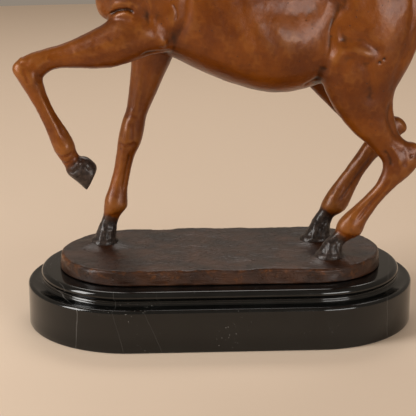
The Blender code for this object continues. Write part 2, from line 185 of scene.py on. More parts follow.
# (inset, height) from under the block, out and up over its tiers, to the middle of its top
moulding = np.concatenate([
    [[60, 0], [30, 0], [foot_chamfer + 6, 0], [foot_chamfer, 0], [0.25, 0.2], [0, foot_chamfer]],
    np.stack([0 * np.arange(6), np.linspace(5, lower_tier - tier_round - 0.6, 6)], 1),
    turned(tier_round, lower_tier - tier_round, tier_round, 0, 82, 12),
    np.stack([np.linspace(tier_round + 0.6, foot - cove - 0.5, 6),
              lower_tier - shoulder_dip * np.sin(np.linspace(0.4, 2.7, 6))], 1),
    np.concatenate([foot - cove + cove * np.sin(hollow), lower_tier + cove - cove * np.cos(hollow)], 1),
    [[foot, lower_tier + cove + fillet * 0.6]],
    turned(tier_inset + nose, plinth_height - nose, nose, -74, 90, 22),
    [[tier_inset + nose + 5, plinth_height], [32, plinth_height], [52, plinth_height], [66, plinth_height]]])
middle, outward, end_radius = oval(plinth_length, plinth_depth, 320)
reach = end_radius - moulding[:, :1]
block = np.stack([middle * np.minimum(1, reach / 30) + reach * outward[:, 0], reach * outward[:, 1],
                  moulding[:, 1:] + 0 * middle], -1)
plinth = new_piece("marble_block", *skin_rings(block), black_marble())
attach(plinth, "root")
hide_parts("marble_plinth")

# Bronze ground
# The oval of trodden earth is cast in one with the hooves. Its top was worked with fingers and a
# toothed spatula, so it rolls a little, and its rim is rubbed where hands lift the piece.
seat_gap, ground_thickness, ground_round, ground_draft = 0.3, 10.7, 2.6, 0.8
ground_length, ground_depth = 232.2, 103.0
ground_top = plinth_height + seat_gap + ground_thickness
withers, side_shift, leg_track = 255.0, 6.0, 8.2
hoof_places = np.array([(-32.6, 8.2), (30.2, -8.2), (28.6, 8.2)]) * withers / 100 - [0, side_shift]


def drift(points, span, seed, waves=14):
    """A soft wandering height of about -1 to 1: a sum of sines of random direction and phase, over the root
    of their number, with wavelengths near span in the points' own unit."""
    draw = np.random.default_rng(seed)
    way = draw.normal(size=(points.shape[-1], waves))
    way *= draw.uniform(0.6, 1.6, waves) * 2 * np.pi / span / np.linalg.norm(way, axis=0)
    return np.sin(points @ way + draw.uniform(0, 2 * np.pi, waves)).sum(-1) / np.sqrt(waves)


def step_between(value, low, high):
    """0 at low, 1 at high, eased 3t^2 - 2t^3 between."""
    t = np.clip((value - low) / (high - low), 0, 1)
    return t * t * (3 - 2 * t)


def bronze(name, brushed=0.0):
    """Lacquered brown patina over cast bronze: golden brown where the form stands proud, umber in the
    hollows and a near-black stain on hooves and ground, by the piece's own hollow and stain values. On the
    horse the hollow value also holds painted shade on the undersides. The relief is a sum of noises times
    their shares. Brushed is the share of level strokes and dug marks."""
    made, tree, surface, where = new_material(name)
    hollow = add_node(tree, "ShaderNodeAttribute", attribute_name="hollow").outputs["Fac"]
    stain = add_node(tree, "ShaderNodeAttribute", attribute_name="stain").outputs["Fac"]
    cloud = noise(where, 38.0, 5.0, 0.6)
    fleck = noise(where, 420.0, 4.0, 0.7)
    cells = spots(where, 240.0)
    chosen = add_node(tree, "ShaderNodeSeparateColor", {"Color": cells["Color"]}).outputs["Red"]
    pit = sums("MULTIPLY", ramp(cells["Distance"], 0.05, 0.15, 1.0, 0.0), ramp(chosen, 0.80, 0.90))
    brown = tint(ramp(cloud, 0.36, 0.66), (0.108, 0.0232, 0.0004), (0.176, 0.0440, 0.0010))
    # over it in turn: redder patches, flecks, smoky clouds, pits, the dark of hollows and of painted shade
    # beneath, the rub of ridges
    for share, colour in (
            (ramp(noise(where, 90.0, 4.0, 0.6), 0.55, 0.72, 0.0, 0.40), (0.215, 0.060, 0.0050)),
            (ramp(fleck, 0.60, 0.74, 0.0, 0.45), (0.050, 0.016, 0.004)),
            (ramp(noise(where, 26.0, 6.0, 0.68), 0.50, 0.66, 0.0, 0.42), (0.085, 0.020, 0.002)),
            (sums("MULTIPLY", pit, 0.75), (0.022, 0.009, 0.004)),
            (ramp(hollow, 0.52, 0.78, 0.0, 0.85), (0.024, 0.0066, 0.0012)),
            (ramp(hollow, 0.46, 0.25, 0.0, 0.5), (0.27, 0.095, 0.016))):
        brown = tint(share, brown, colour)
    umber = tint(ramp(cloud, 0.35, 0.68), (0.017, 0.0066, 0.0036), (0.054, 0.0205, 0.0092))
    coal = tint(ramp(fleck, 0.4, 0.65), (0.015, 0.0100, 0.0085), (0.046, 0.031, 0.025))
    black = tint(ramp(stain, 0.80, 0.96), umber, coal)
    edge = sums("ADD", stain, waver(where, 170.0, 5.0, 0.9, 0.65))
    tree.links.new(tint(ramp(edge, 0.35, 0.75), brown, black), surface.inputs["Base Color"])
    polish = ramp(noise(where, 70.0, 6.0, 0.6), 0.3, 0.7, 0.30, 0.42)
    tree.links.new(polish, surface.inputs["Roughness"])
    for socket, value in (("Metallic", 0.14), ("Specular IOR Level", 0.2), ("Coat Weight", 0.26),
                          ("Coat Roughness", 0.24)):
        surface.inputs[socket].default_value = value
    relief = [(fleck, 0.35), (noise(where, 1500.0, 2.0), 0.25), (pit, -0.7),
              (noise(where, 560.0, 2.0, distortion=1.6), 0.34)]
    if brushed:
        level = add_node(tree, "ShaderNodeMapping", {"Vector": where, "Scale": (0.35, 0.8, 2.2)})
        dug = ramp(noise(where, 330.0, 3.0, 0.6), 0.58, 0.74)
        relief += [(noise(level.outputs["Vector"], 430.0, 5.0, 0.7), brushed), (dug, -brushed)]
    grain = noise(where, 130.0, 3.0)
    for height, share in relief:
        grain = sums("MULTIPLY_ADD", height, share, grain)
    bump = add_node(tree, "ShaderNodeBump", {"Height": grain, "Strength": 0.5, "Distance": 0.0006})
    tree.links.new(bump.outputs["Normal"], surface.inputs["Normal"])
    return made


def give_values(piece, **values):
    """Stores one number for each point under each name."""
    for key, numbers in values.items():
        kept = piece.data.attributes.new(key, "FLOAT", "POINT")
        kept.data.foreach_set("value", np.asarray(numbers, np.float32))


middle, outward, end_radius = oval(ground_length, ground_depth, 360)
rim = np.concatenate([
    [[4, 0], [0.6, 0], [0, 0.5]],
    np.stack([np.linspace(0, ground_draft, 7), np.linspace(1.0, ground_thickness - ground_round, 7)], 1),
    turned(ground_draft + ground_round, ground_thickness - ground_round, ground_round, 12, 90, 9)])
share = np.linspace(1, 0.02, 56)[1:, None]
reach = end_radius - rim[:, :1]
edge_x, edge_y = middle + reach * outward[:, 0], reach * outward[:, 1]
top_x, top_y = edge_x[-1:] * share, edge_y[-1:] * share
x, y = np.concatenate([edge_x, top_x]), np.concatenate([edge_y, top_y])
z = np.concatenate([rim[:, 1:] + 0 * middle, ground_thickness + 0 * top_x])
flat = np.stack([x, y], -1)
loose = np.clip((z - 1) / (ground_thickness - 1), 0, 1)
from_rim = np.concatenate([rim[:, :1], ground_draft + ground_round + end_radius * (1 - share)]) + 0 * middle
roll = 0.34 * drift(flat, 46, 3) + 0.13 * drift(flat, 15, 4) + 0.10 * drift(flat * [1, 2.2], 5, 5)
z = z + loose * (roll - 0.25)
# metal runs up round each hoof, and a shallow ring lies pressed round it
blackened = 0 * x
for hoof_x, hoof_y in hoof_places:
    apart = np.hypot((x - hoof_x) / 15.5, (y - hoof_y) / 12.5)
    mound = 3.0 * np.exp(-(1.15 * apart) ** 3) - 0.3 * np.exp(-((apart - 1.6) / 0.4) ** 2)
    z = z + loose ** 4 * mound
    blackened = np.maximum(blackened, np.exp(-(0.85 * apart) ** 4))
lean = 0.35 * drift(np.stack([x, y, z * 2], -1), 24, 6) * (z < ground_thickness - 1.5) * (z > 0.8)
x, y = x + lean * outward[:, 0], y + lean * outward[:, 1]
ground = new_piece("trodden_ground", *skin_rings(np.stack([x, y, z + plinth_height + seat_gap], -1)),
                   bronze("brown bronze of the ground", 1.8))
# the two points more are the middles of the underside and of the top
upper = np.append(step_between(z, ground_thickness - 2.6, ground_thickness - 0.6), [0, 1])
worn = 0.5 - 0.30 * np.append(np.exp(-((from_rim - 1.2) / 1.5) ** 2), [0, 0])
dark = np.maximum(0.4 * worn + 0.64 - 0.05 * upper, np.append(blackened, [0, 0]) * upper)
give_values(ground, hollow=worn, stain=dark)
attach(ground, "root")
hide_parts("bronze_horse")

# Horse
# The horse was modelled in clay over a wire, cast hollow in bronze in one pour with its ground,
# chased, and lacquered brown. It steps out with the near foreleg raised. Its form is given in
# hundredths of its height at the withers, up from the ground, forward being -x.
NEAR, FAR = -1, 1


def curve_through(rows, steps):
    """Rows on the Catmull-Rom curve through the rows: each point is a cubic blend of its four neighbours."""
    rows = np.asarray(rows, float)
    count = len(rows)
    t = np.linspace(0, count - 1, steps * (count - 1) + 1)
    i = np.clip(t.astype(int), 0, count - 2)
    f = (t - i)[:, None]
    p = np.vstack([2 * rows[0] - rows[1], rows, 2 * rows[-1] - rows[-2]])
    a, b, c, d = p[i], p[i + 1], p[i + 2], p[i + 3]
    bend, twist = 2 * a - 5 * b + 4 * c - d, 3 * b - a - 3 * c + d
    return 0.5 * (2 * b + (c - a) * f + bend * f ** 2 + twist * f ** 3)


def full_turn(sides):
    """So many angles, evenly spaced round a full turn."""
    return np.linspace(0, 2 * np.pi, sides, endpoint=False)


def limb(stations, y=0.0, power=2.0, narrow=0.0, steps=8, sides=48):
    """A body or leg through stations (front x, front z, back x, back z, half width, side shift): each ring
    is a superellipse |cos|^(2/power), |sin|^(2/power) between its two outline points, its width changed
    by the share narrow towards the front."""
    rows = curve_through([list(s) + [0.0] * (6 - len(s)) for s in stations], steps)
    turn = full_turn(sides)
    along = np.sign(np.cos(turn)) * np.abs(np.cos(turn)) ** (2 / power)
    across = np.sign(np.sin(turn)) * np.abs(np.sin(turn)) ** (2 / power)
    front_x, front_z, back_x, back_z, half, shift = (rows[:, k:k + 1] for k in range(6))
    x = (front_x + back_x) / 2 + (front_x - back_x) / 2 * along
    z = (front_z + back_z) / 2 + (front_z - back_z) / 2 * along
    return skin_rings(np.stack([x, y + shift + half * across * (1 + narrow * along), z], -1))


def unit(rows):
    """Each row over its own length."""
    return rows / np.linalg.norm(rows, axis=1)[:, None]


def strand(path, radii, flat=1.0, steps=6, sides=16):
    """A tapering strand: circles of the given radii square to the path, stretched sideways by flat."""
    rows = curve_through(np.column_stack([path, radii]), steps)
    way = unit(np.gradient(rows[:, :3], axis=0))
    side = unit(np.array([0.0, 1.0, 0.0]) - way[:, 1:2] * way)
    up = np.cross(way, side)
    turn = full_turn(sides)[None, :, None]
    ring = np.cos(turn) * side[:, None] * flat + np.sin(turn) * up[:, None]
    return skin_rings(rows[:, None, :3] + np.maximum(rows[:, 3], 0.05)[:, None, None] * ring)


def muscle(centre, radii, pitch=0.0, yaw=0.0, rows=24, sides=36):
    """An egg: the unit sphere scaled by radii, pitched up in the side view, turned about the upright."""
    u, v = np.linspace(0, np.pi, rows)[1:-1, None], full_turn(sides)
    ball = np.stack([np.cos(u) + 0 * v, np.sin(u) * np.cos(v), np.sin(u) * np.sin(v)], -1) * radii
    a, b = np.radians([pitch, yaw])
    pitched = np.array([[np.cos(a), 0, np.sin(a)], [0, 1, 0], [-np.sin(a), 0, np.cos(a)]])
    turned_about = np.array([[np.cos(b), np.sin(b), 0], [-np.sin(b), np.cos(b), 0], [0, 0, 1]])
    return skin_rings(ball @ pitched @ turned_about + np.asarray(centre))


def both_sides(eggs):
    """Each egg (centre, radii, pitch, yaw) on the far side, and mirrored in the middle plane on the near."""
    for (x, y, z), radii, pitch, yaw in eggs:
        for side in (NEAR, FAR):
            yield muscle((x, side * y, z), radii, pitch, side * yaw)


def gathered(parts):
    """Several skins as one: all their points, and their faces counted on from where each skin starts."""
    starts = np.cumsum([0] + [len(points) for points, _ in parts])
    faces = [np.vstack([own[kind] + start for start, (_, own) in zip(starts, parts)]) for kind in (0, 1)]
    return np.vstack([points for points, _ in parts]), faces


def trunk():
    """The barrel as one limb, breast to dock. Eggs sunk into each side are the shoulder blade, upper arm,
    point of the shoulder, breast, croup, point of the hip, buttock, thigh and withers."""
    yield limb([
        (-33.4, 80.8, -32.7, 72.4, 5.1), (-30.8, 88.6, -30, 65.4, 9.2), (-25.9, 95.3, -24.3, 59.2, 11.4),
        (-16.9, 99.6, -14.1, 55.7, 12.4), (-7.1, 96.2, -4.3, 51, 13.9), (3.9, 92.6, 5.1, 47.5, 15.3),
        (14.1, 91.2, 13.3, 45.7, 15.3), (23.5, 91.6, 21.2, 46.3, 13.9), (32.9, 92.3, 29, 49.4, 13),
        (41.6, 90.2, 38.4, 58.8, 12.2), (47.8, 85.8, 46.3, 67.5, 9), (51.4, 81.2, 50.6, 74.5, 4.7)],
        power=2.15, narrow=-0.32, sides=96)
    yield from both_sides((
        ((-21.2, 6.4, 85), (14.9, 4.8, 9), 52, 6), ((-18.4, 8.6, 73), (10.6, 4.6, 9.4), -38, 3),
        ((-27.1, 6.8, 76.5), (6.3, 5.3, 7.5), 30, 0), ((-29.2, 4.2, 74), (4.4, 4.4, 8.2), -12, 0),
        ((33, 6.2, 81), (19, 7.6, 9.8), -12, -8), ((24.6, 8.6, 82.6), (8, 4.6, 5.8), -20, 0),
        ((47.3, 5.6, 75.3), (7, 5.2, 11.4), 12, 0), ((31, 9.2, 58.4), (8.6, 5.4, 10), 20, 0),
        ((-14.5, 3, 94.4), (11, 4.2, 4.6), -18, 0)))


neck_stations = (
    (-11, 96.5, -27.5, 69, 8.6), (-14.9, 100.6, -34.1, 75.3, 9.6), (-17.6, 105.8, -37.9, 83.1, 8.8),
    (-21.4, 114, -41.6, 93.3, 7.2), (-26.7, 122.8, -43.7, 103.5, 6), (-33.1, 130.4, -44.7, 112.9, 5.2),
    (-40.4, 135, -45.5, 119.2, 4.6), (-47.1, 135.3, -43.9, 124.7, 3.5))


def neck_and_head():
    """Two limbs, the neck up to the poll and the skull down to the lips. Eggs on each side are the jaw, brow,
    eyeball, cheekbone and nostril, one in the middle is the chin, and the ears are strands."""
    yield limb(neck_stations, narrow=-0.25)
    yield limb([
        (-45.9, 137.3, -40.8, 131, 2.7), (-50.2, 134.1, -40.4, 126.3, 4.7), (-54.1, 128.6, -39.6, 118.8, 5.3),
        (-57.3, 122.4, -41.6, 112.9, 5.1), (-59.8, 116.5, -48, 109.9, 4.1), (-62.2, 111, -53.5, 106.2, 3.5),
        (-64.7, 105.9, -56.7, 101.8, 3.3), (-66.5, 101.6, -59, 97.2, 3.5), (-66.1, 98, -61.4, 95.8, 2.4)],
        power=2.3)
    yield from both_sides((
        ((-46.2, 3.5, 119.6), (7, 2.5, 6.9), 60, 0), ((-50.9, 3.9, 127.8), (3.4, 1.5, 2), 66, 0),
        ((-52.3, 4.5, 126), (1.5, 0.9, 1.3), 60, 0), ((-54.6, 3.9, 119), (6.4, 0.9, 0.9), 66, 0),
        ((-65, 2.4, 101.9), (2.3, 1.3, 1.6), 72, 0)))
    for side in (NEAR, FAR):
        yield strand([(-43.9, side * 2.0, 133.4), (-44.4, side * 2.7, 136.8), (-45.6, side * 3.2, 140.0),
                      (-47.4, side * 3, 143.05)], [1.5, 1.95, 1.55, 0.3], flat=0.62)
    yield muscle((-60.3, 0, 97.2), (2.2, 2.0, 1.6), 20)


def forelegs():
    """The near leg lifted, as three limbs: forearm to knee, knee to fetlock, and pastern with hoof. The far
    leg stands, one limb from the shoulder down into the ground."""
    y = NEAR * leg_track
    yield limb([
        (-15.7, 72.9, -10.2, 62.7, 3.5, 0.8), (-20.4, 70.6, -14.1, 58.4, 5.1),
        (-25.1, 68.6, -19.2, 57.3, 5.5), (-29.8, 66.7, -23.9, 55.5, 5.3), (-33.7, 64.5, -29.8, 53.9, 4.9),
        (-38, 62.4, -36.1, 53.7, 4.3), (-42.7, 60.4, -41.2, 53.9, 3.6), (-47.5, 59, -45.1, 53.5, 3.2),
        (-51.8, 57.6, -47.8, 51.6, 3.3), (-54.9, 55.7, -49.4, 51.4, 2.7)], y)
    yield limb([
        (-53.3, 57.3, -48.2, 54.1, 2.4), (-55.9, 54.3, -47.8, 50.8, 3.1), (-54.3, 50.8, -47.4, 49, 2.9),
        (-51.6, 46.1, -46.5, 46.1, 2.2), (-49, 41, -44.5, 41.6, 2), (-46.9, 35.7, -41.8, 37.3, 2.3),
        (-45.5, 31.6, -40.1, 33.9, 2.9), (-43.9, 29.2, -39.6, 31.8, 2.6), (-42.6, 26.9, -38.8, 30.2, 2.1),
        (-41.9, 25.3, -38, 29.6, 2.3)], y - 0.5)
    yield limb([
        (-42.6, 26.3, -38.8, 29.8, 2), (-41.9, 25, -37, 29.9, 2.9), (-38.9, 22.5, -34.7, 28.1, 3.2),
        (-37, 20.5, -34, 26.6, 3.3)], y - 0.5, power=2.2)
    yield limb([
        (-26, 76, -12, 74, 2.4, -1.6), (-26.6, 69.5, -9.6, 66.5, 4.3, -0.6), (-25.7, 62.7, -10, 60, 5.2),
        (-24.9, 57.3, -12.2, 55.3, 5.2), (-24.7, 52.2, -14.7, 50.2, 4.7), (-25.3, 45.5, -17.6, 43.9, 4.1),
        (-26.1, 39.6, -20.1, 38.4, 3.5), (-27.3, 36.1, -20.9, 34.9, 3.4), (-28.5, 31.4, -21.9, 30.2, 3.4),
        (-29.2, 26.7, -23.9, 25.9, 2.6), (-30, 22, -25.2, 21.2, 2.1), (-31.2, 17.6, -26, 16.9, 2.2),
        (-32.7, 13.3, -26.2, 12.9, 2.9), (-33.1, 10.6, -26.4, 10.8, 3), (-33.3, 8.4, -28.4, 8.2, 2.2),
        (-34.1, 6.3, -29.3, 5.9, 2.1), (-35, 4.3, -29.5, 3.7, 2.8), (-36.5, 0.4, -29.6, 0.2, 3.4),
        (-36.7, -0.8, -29.6, -0.8, 3.4)], FAR * leg_track)


def hindlegs():
    """Each leg as two limbs, croup to hock and hock to ground, and an egg for the point of the hock."""
    y = NEAR * leg_track
    yield limb([
        (25.9, 88.6, 46.3, 87.1, 2.6, 1.9), (23.5, 83.1, 52.5, 80.8, 4.9, 1.2), (23.5, 75.3, 54.9, 73.7, 6.3),
        (25.1, 66.7, 54.1, 65.1, 7.2), (26.3, 59.2, 51.4, 57.3, 7.3), (25.7, 53.3, 48.6, 51.4, 6.6),
        (26.9, 48.2, 46.5, 47.5, 5.5), (29.2, 43.5, 45.9, 43.1, 4.8), (32.5, 38.8, 46.6, 39.4, 3.9),
        (35.9, 35, 47.5, 36.1, 3.3), (39.2, 32.2, 49, 33.9, 2.7), (41.6, 29.8, 51.4, 32.2, 2.4),
        (43.5, 27.5, 53.3, 30.6, 2.4)], y, power=2.1)
    yield limb([
        (41.6, 31.4, 51, 32.2, 1.8), (43.6, 27.1, 54.3, 28.8, 2.6), (43.5, 23.9, 52.2, 24.5, 2.7),
        (41.8, 20.4, 47.5, 20.2, 2.3), (39.2, 17.5, 44.1, 16.5, 2), (36.3, 14.7, 41.6, 13.1, 2.2),
        (33.7, 12.4, 39.7, 10, 2.9), (31.8, 10, 38.4, 6.9, 3), (31, 7.6, 35.3, 5.2, 2.2),
        (29.6, 5.9, 33.5, 3.7, 2.1), (28, 4.3, 33.2, 2.4, 2.9), (26.1, 0.4, 33.2, 0, 3.4),
        (25.9, -0.8, 33.2, -0.8, 3.4)], y)
    yield muscle((52.2, y, 30.2), (3.1, 1.7, 2.1), pitch=-48)
    y = FAR * leg_track
    yield limb([
        (25.9, 88.6, 46.3, 87.1, 2.6, -1.9), (23.5, 83.1, 52.5, 80.8, 4.9, -1.2),
        (22.7, 75.3, 54.9, 73.7, 6.3), (23.5, 66.7, 54.1, 65.1, 7.2), (23.9, 59.2, 51.8, 58, 7.3),
        (22.9, 52.5, 49.4, 52.5, 6.6), (23.5, 47.5, 47.5, 48.2, 5.5), (26.3, 44.1, 46.7, 44.7, 4.8),
        (30.2, 40.2, 46.9, 41.2, 3.9), (33.7, 36.7, 47.5, 38.4, 3.3), (36.9, 33.7, 48.6, 36.9, 2.7),
        (39.6, 31, 50.2, 36.1, 2.4), (41.6, 29.8, 51.8, 34.5, 2.4)], y, power=2.1)
    yield limb([
        (40.4, 34.5, 50.2, 36.1, 1.8), (41.8, 30.4, 52.5, 32.5, 2.6), (40.6, 27.8, 49.8, 28.8, 2.7),
        (38.6, 24.7, 44.5, 23.7, 2.3), (36.1, 21, 41.4, 19.4, 2), (33.3, 17.3, 39.4, 15.3, 2.2),
        (31.2, 14.1, 38, 12.2, 2.9), (29.6, 11.2, 36.5, 9.2, 3), (29, 9.2, 33.5, 7.1, 2.2),
        (27.6, 7.1, 32.4, 5.3, 2.1), (26.3, 4.5, 32.2, 2.7, 2.9), (24.1, 0.4, 32.2, 0, 3.4),
        (23.9, -0.8, 32.2, -0.8, 3.4)], y)
    yield muscle((50.8, y, 33.9), (3.1, 1.7, 2.1), pitch=-42)


def to_row(points):
    """Hundredths of the withers' height to millimetres in the row frame."""
    return points * withers / 100 + [0, -side_shift, ground_top]


def baked(form):
    """The form's mesh as its modifiers leave it. The form itself goes."""
    mesh = bpy.data.meshes.new_from_object(form.evaluated_get(bpy.context.evaluated_depsgraph_get()))
    bpy.data.objects.remove(form)
    return mesh


def surface_of(mesh, corners):
    """The mesh's points, brought back to hundredths, and its faces of so many corners."""
    points = np.empty(len(mesh.vertices) * 3)
    mesh.vertices.foreach_get("co", points)
    faces = np.empty(len(mesh.polygons) * corners, int)
    mesh.loops.foreach_get("vertex_index", faces)
    points = (points.reshape(-1, 3) / MM - [0, -side_shift, ground_top]) * 100 / withers
    return points, faces.reshape(-1, corners)


def run_together(parts, cell):
    """Overlapping skins as one: their union, sampled on a grid of cells so many millimetres wide and skinned
    again in four-cornered faces."""
    points, faces = gathered(parts)
    form = new_piece("union", to_row(points), faces, None)
    union = form.modifiers.new("union", "REMESH")
    union.mode = "VOXEL"
    union.voxel_size = cell * MM
    return surface_of(baked(form), 4)


def neighbour_pairs(faces):
    """Each edge of the faces once, as a pair of point numbers."""
    return np.unique(np.sort(np.stack([faces, np.roll(faces, -1, 1)], -1).reshape(-1, 2), 1), axis=0)


def eased(points, pairs, amount, rounds):
    """Each round moves every point by amount of the way to the middle of its neighbours."""
    a, b = pairs.T
    count = len(points)
    near = np.bincount(a, minlength=count) + np.bincount(b, minlength=count)
    amount = np.broadcast_to(amount, count)[:, None]
    for _ in range(rounds):
        middle = np.stack([np.bincount(a, points[b, k], count) + np.bincount(b, points[a, k], count)
                           for k in range(3)], 1) / near[:, None]
        points = points + amount * (middle - points)
    return points


def outward_directions(points, faces):
    """Unit normals at the points: the faces' diagonal cross products summed at their corners."""
    across = np.cross(points[faces[:, 2]] - points[faces[:, 0]], points[faces[:, -1]] - points[faces[:, 1]])
    total = np.stack([sum(np.bincount(faces[:, k], across[:, j], len(points)) for k in range(faces.shape[1]))
                      for j in range(3)], 1)
    return total / np.maximum(np.linalg.norm(total, axis=1), 1e-9)[:, None]


def near_path(points, chosen, path):
    """Side-view distance of the chosen points to the path, and how far along it they lie, 0 to 1."""
    flat = points[chosen][:, [0, 2]]
    best, place = np.full(len(chosen), 1e9), np.zeros(len(chosen))
    run = np.concatenate([[0], np.cumsum(np.linalg.norm(np.diff(path, axis=0), axis=1))])
    for k in range(len(path) - 1):
        span = path[k + 1] - path[k]
        t = np.clip(((flat - path[k]) @ span) / max(span @ span, 1e-9), 0, 1)
        apart = np.linalg.norm(flat - path[k] - t[:, None] * span, axis=1)
        nearer = apart < best
        best = np.where(nearer, apart, best)
        place = np.where(nearer, (run[k] + t * (run[k + 1] - run[k])) / run[-1], place)
    return best, place


def groove(push, path, width, depth, face, y_range):
    """Adds depth times exp(-(d / width)^2) to the push, d being the side-view distance to the path. It fades
    over the path's ends and where the surface turns away from face. A negative depth raises a ridge."""
    path = curve_through(path, 4) if len(path) > 2 else np.asarray(path, float)
    x, y, z = points.T
    low, high = path.min(0) - 2.2 * width, path.max(0) + 2.2 * width
    chosen = np.flatnonzero((x > low[0]) & (x < high[0]) & (z > low[1]) & (z < high[1])
                            & (y > y_range[0]) & (y < y_range[1]) & (face * normals[:, 1] > 0))
    apart, place = near_path(points, chosen, path)
    ends = step_between(place, -0.02, 0.2) * step_between(1 - place, -0.02, 0.2)
    facing = step_between(face * normals[chosen, 1], 0.0, 0.5)
    push[chosen] += depth * np.exp(-(apart / width) ** 2) * ends * facing


def boss(push, centre, radii, height, face, y_range, tilt=0.0):
    """Raises by height times exp(-q), q being the side-view (d / radius)^2 summed over a tilted ellipse."""
    a = np.radians(tilt)
    dx, dz = points[:, 0] - centre[0], points[:, 2] - centre[1]
    q = ((dx * np.cos(a) + dz * np.sin(a)) / radii[0]) ** 2
    q += ((dz * np.cos(a) - dx * np.sin(a)) / radii[1]) ** 2
    chosen = np.flatnonzero((q < 5) & (points[:, 1] > y_range[0]) & (points[:, 1] < y_range[1]))
    push[chosen] -= height * np.exp(-q[chosen]) * step_between(face * normals[chosen, 1], 0.0, 0.5)


def press(push, lines, bosses, face, side):
    """All lines and bosses of the lists, on what looks towards face, on one side of the middle plane."""
    half = (-30, -0.4) if side == NEAR else (0.4, 30)
    for path, width, depth in lines:
        groove(push, path, width, depth, face, half)
    for centre, radii, height, *tilt in bosses:
        boss(push, centre, radii, height, face, half, *tilt)


parts = [part for make in (trunk, neck_and_head, forelegs, hindlegs) for part in make()]
points, faces = run_together(parts, 0.72)
pairs = neighbour_pairs(faces)
x, y, z = points.T
throat_and_crest = step_between(-x, 38, 43) * step_between(z, 92, 104)
softness = 0.12 + 0.42 * step_between(z, 36, 58) * step_between(x, -52, -38) * (1 - throat_and_crest)
points = eased(points, pairs, softness, 60)
# the croup and the points of the hips run over into the back without an edge
over_hips = step_between(points[:, 0], 6, 16) * step_between(-points[:, 0], -50, -40)
croup = over_hips * step_between(points[:, 2], 71, 79)
points = eased(points, pairs, 0.75 * croup, 110)
normals = outward_directions(points, faces)
push = np.zeros(len(points))

# muscles, folds and veins of both sides, as (path, width, depth) in the side view
body_lines = (
    ([(-9.6, 84), (-9.2, 78), (-9.9, 72.3), (-10.3, 68.1), (-11.2, 65.2), (-12.6, 62.4),
      (-14.6, 59.3)], 1.7, 0.68), ([(-24.6, 91), (-18, 83.5), (-12.8, 79), (-10, 75)], 1.3, 0.2),
    ([(32.6, 76), (31.2, 71.9), (29.2, 68.9), (27.9, 66.1), (27.3, 62.5), (27.2, 58.2), (26.8, 55.2),
      (25.4, 51.7)], 1.9, 0.58),
    ([(29.6, 68.9), (28.1, 66.4), (27.4, 62.5), (27.4, 58.2), (27, 55.2), (25.8, 52.5)], 0.7, 0.12),
    ([(31, 69.6), (29.6, 66.6), (29, 63.6), (29.4, 60.8)], 1, -0.16),
    ([(27.6, 63), (28.6, 62.2), (29.5, 62.1)], 0.5, 0.12),
    ([(27.5, 54.4), (28.9, 56.9), (31, 58.7), (34, 59), (37.2, 58.2), (39.4, 57)], 1.6, -0.5),
    ([(29.2, 60.9), (32, 61.9), (35.5, 61.6), (38.6, 59.8), (41.4, 57.6)], 1.5, 0.46),
    ([(26.6, 55), (25.6, 52), (24.6, 49.8), (24.2, 47.6)], 1.5, 0.5),
    ([(25.5, 50.7), (23.3, 49.7), (21.2, 48.6)], 0.5, 0.24),
    ([(25.6, 49), (24.2, 47.8), (22.8, 47.2)], 0.45, 0.2),
    ([(36, 57.4), (37.4, 53.8), (38.4, 49.5), (38.8, 43.5)], 1.4, 0.34),
    ([(45.5, 84), (48.3, 76), (49, 67), (47.2, 58), (45, 50), (44.6, 44)], 1, 0.32),
    ([(44.8, 45.3), (44.4, 40.4), (45.7, 36.6), (48, 33.3)], 0.8, 0.42),
    ([(28, 86.6), (33, 80), (36.6, 74), (38, 68)], 1.6, 0.16),
    ([(8.5, 70.8), (14.5, 69), (21, 69), (27, 70.8)], 2.6, 0.34),
    ([(-41.5, 116), (-39.4, 104), (-36.6, 94), (-33.4, 84.5)], 1.1, 0.3),
    ([(-36.4, 121.5), (-29.4, 110), (-23.4, 98), (-20.4, 90)], 1.8, 0.16),
    ([(-14.5, 98), (-20.5, 92), (-25.6, 84.5), (-29.3, 78)], 1.2, 0.4),
    ([(-30.6, 84), (-31.3, 78), (-30.2, 72.5), (-28, 69.6)], 1, 0.22))
rib_lines = tuple(([(foot - 6.9, 77), (foot - 4.6, 69), (foot - 1.6, 61.5), (foot + 2.2, 54.6)], 1.5, 0.10)
                  for foot in (-1.2, 4.2, 9.4, 14.2))
head_lines = (
    ([(-51, 127.9), (-52.2, 127.6), (-53.4, 126.4), (-53.9, 124.8)], 0.28, 0.42),
    ([(-51, 127.9), (-51.2, 126.4), (-52.1, 125.1), (-53.9, 124.7)], 0.28, 0.34),
    ([(-50.3, 128.6), (-52, 128.5), (-53.9, 127.1), (-54.6, 125.2)], 0.4, -0.2),
    ([(-50.2, 127.9), (-50.4, 126), (-51.6, 124.3), (-53.8, 123.7)], 0.4, -0.14),
    ([(-52, 121.5), (-55, 115.5), (-57.5, 110.5)], 0.8, 0.16),
    ([(-55.4, 122.5), (-58.2, 115), (-60.8, 109), (-63, 104.8)], 1, 0.22),
    ([(-42.6, 128.5), (-40.4, 122), (-40.9, 115.5)], 0.8, 0.4),
    ([(-50.4, 122), (-50.8, 117), (-49.4, 113.2)], 0.9, 0.22),
    ([(-66.2, 99.4), (-63.4, 100.2), (-60.4, 102.4)], 0.28, 0.42),
    ([(-60.5, 103.6), (-59.6, 101.6)], 0.35, 0.2),
    ([(-65.9, 103.3), (-64.9, 103.6), (-64.2, 102.4), (-64.8, 100.9)], 0.5, 0.62),
    ([(-66.3, 104.6), (-64.4, 105), (-63, 102.8), (-63.9, 100.1)], 0.5, -0.2),
    ([(-54.2, 117.6), (-56.6, 113.4), (-58.6, 110.6), (-59, 106.6)], 0.28, -0.12),
    ([(-45, 136.2), (-46, 139.4), (-47.1, 142)], 0.62, 0.8))
